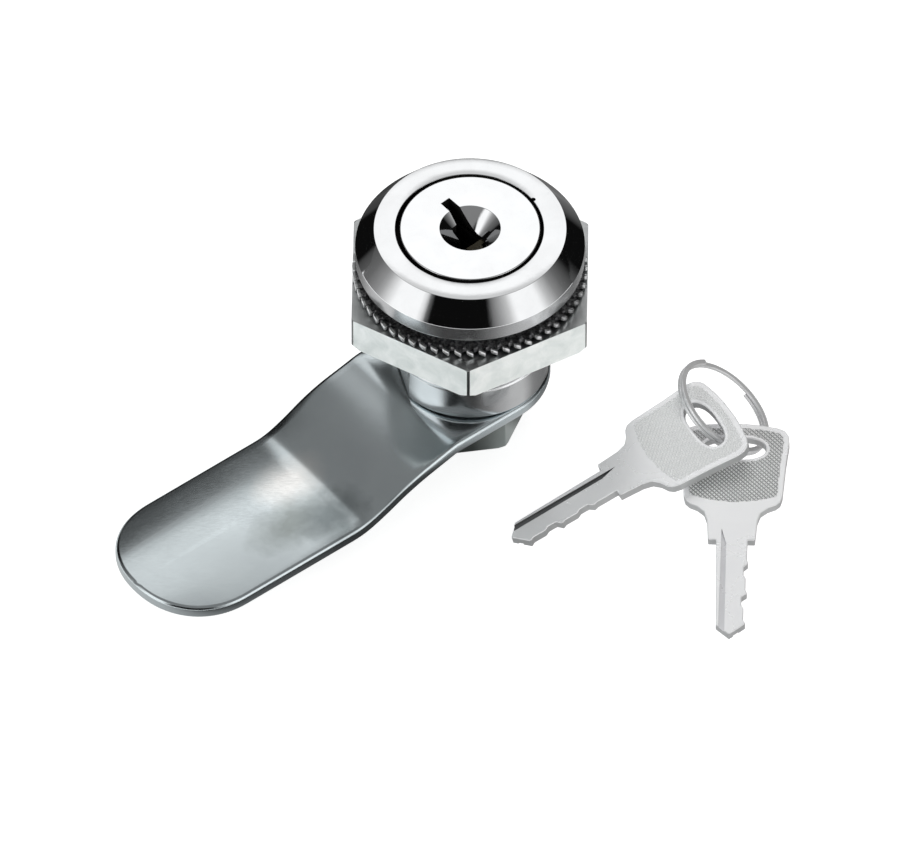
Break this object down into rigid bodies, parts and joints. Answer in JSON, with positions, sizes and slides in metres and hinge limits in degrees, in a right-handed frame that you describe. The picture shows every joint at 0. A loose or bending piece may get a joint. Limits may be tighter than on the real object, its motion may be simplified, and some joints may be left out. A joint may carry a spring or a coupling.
{
  "type": "cam lock",
  "caption": "Cam lock: chrome double-D threaded body with a keyed plug, mounting nut, toothed washer and cranked cam, with its keys on a split ring.",
  "frame": {"origin": "on the lock's axis, at the end of the plug's stud, level with the foot of the cam nut that the lock stands on", "axes": "+Z along the lock's axis, out of the face with the keyway; -Y towards the front, +X to the right, where the keys lie"},
  "size_m": [0.0918, 0.0602, 0.0376],
  "materials": {
    "chrome_body": "bright chrome plate over a zinc die casting",
    "chrome_plug": "bright chrome plate over a zinc die casting",
    "zinc_steel": "blue passivated zinc plate on steel",
    "pale_zinc": "matt pale zinc casting",
    "dark_steel": "dark spring steel with bright tooth tips",
    "nickel": "bright nickel plate",
    "wafer_brass": "plain stamped brass",
    "spring_steel": "bright drawn wire"
  },
  "bodies": {
    "lock_body": {"housing": "chrome_body"},
    "plug_and_cam": {"plug": "chrome_plug", "stop_washer": "zinc_steel", "cam": "zinc_steel", "spring_washer": "zinc_steel", "cam_nut": "zinc_steel", "wafer_spring_1": "spring_steel", "wafer_spring_2": "spring_steel", "wafer_spring_3": "spring_steel", "wafer_spring_4": "spring_steel", "wafer_spring_5": "spring_steel"},
    "wafer_1": {"wafer_1": "wafer_brass"},
    "wafer_2": {"wafer_2": "wafer_brass"},
    "wafer_3": {"wafer_3": "wafer_brass"},
    "wafer_4": {"wafer_4": "wafer_brass"},
    "wafer_5": {"wafer_5": "wafer_brass"},
    "lock_washer": {"lock_washer": "dark_steel"},
    "mounting_nut": {"mounting_nut": "pale_zinc"},
    "key_ring": {"key_ring": "nickel"},
    "key_1": {"key_1": "nickel"},
    "key_2": {"key_2": "nickel"}
  },
  "joints": [
    {"name": "plug_turn", "type": "hinge", "parent": "lock_body", "child": "plug_and_cam", "pos_m": [0, 0, 0.0376], "axis": [0, 0, 1], "range_deg": [-90, 0]},
    {"name": "wafer_1_slide", "type": "slide", "parent": "plug_and_cam", "child": "wafer_1", "axis": [-0.6534, 0.757, 0], "range_m": [0, 0.001], "stiffness_N_per_m": 100, "springref_m": 0.0025, "deforming": ["wafer_spring_1"]},
    {"name": "wafer_2_slide", "type": "slide", "parent": "plug_and_cam", "child": "wafer_2", "axis": [-0.6534, 0.757, 0], "range_m": [0, 0.001], "stiffness_N_per_m": 100, "springref_m": 0.0025, "deforming": ["wafer_spring_2"]},
    {"name": "wafer_3_slide", "type": "slide", "parent": "plug_and_cam", "child": "wafer_3", "axis": [-0.6534, 0.757, 0], "range_m": [0, 0.001], "stiffness_N_per_m": 100, "springref_m": 0.0025, "deforming": ["wafer_spring_3"]},
    {"name": "wafer_4_slide", "type": "slide", "parent": "plug_and_cam", "child": "wafer_4", "axis": [-0.6534, 0.757, 0], "range_m": [0, 0.001], "stiffness_N_per_m": 100, "springref_m": 0.0025, "deforming": ["wafer_spring_4"]},
    {"name": "wafer_5_slide", "type": "slide", "parent": "plug_and_cam", "child": "wafer_5", "axis": [-0.6534, 0.757, 0], "range_m": [0, 0.001], "stiffness_N_per_m": 100, "springref_m": 0.0025, "deforming": ["wafer_spring_5"]},
    {"name": "lock_washer_slide", "type": "slide", "parent": "lock_body", "child": "lock_washer", "axis": [0, 0, 1], "range_m": [-0.0061, 0]},
    {"name": "nut_spin", "type": "hinge", "parent": "lock_washer", "child": "mounting_nut", "pos_m": [0, 0, 0.0261], "axis": [0, 0, 1], "range_deg": [-1440, 0]},
    {"name": "key_ring_lift", "type": "slide", "parent": "lock_body", "child": "key_ring", "axis": [0, 0, 1], "range_m": [0, 0.06]},
    {"name": "key_1_swing", "type": "hinge", "parent": "key_ring", "child": "key_1", "pos_m": [0.03274, -0.0104, 0.00747], "axis": [0, 0, 1], "range_deg": [-8, 8]},
    {"name": "key_2_swing", "type": "hinge", "parent": "key_ring", "child": "key_2", "pos_m": [0.03629, -0.01079, 0.00475], "axis": [0, 0, 1], "range_deg": [-6, 8]}
  ],
  "couplings": [
    {"joint": "lock_washer_slide", "follows": "nut_spin", "m_per_rad": 0.00023873}
  ]
}
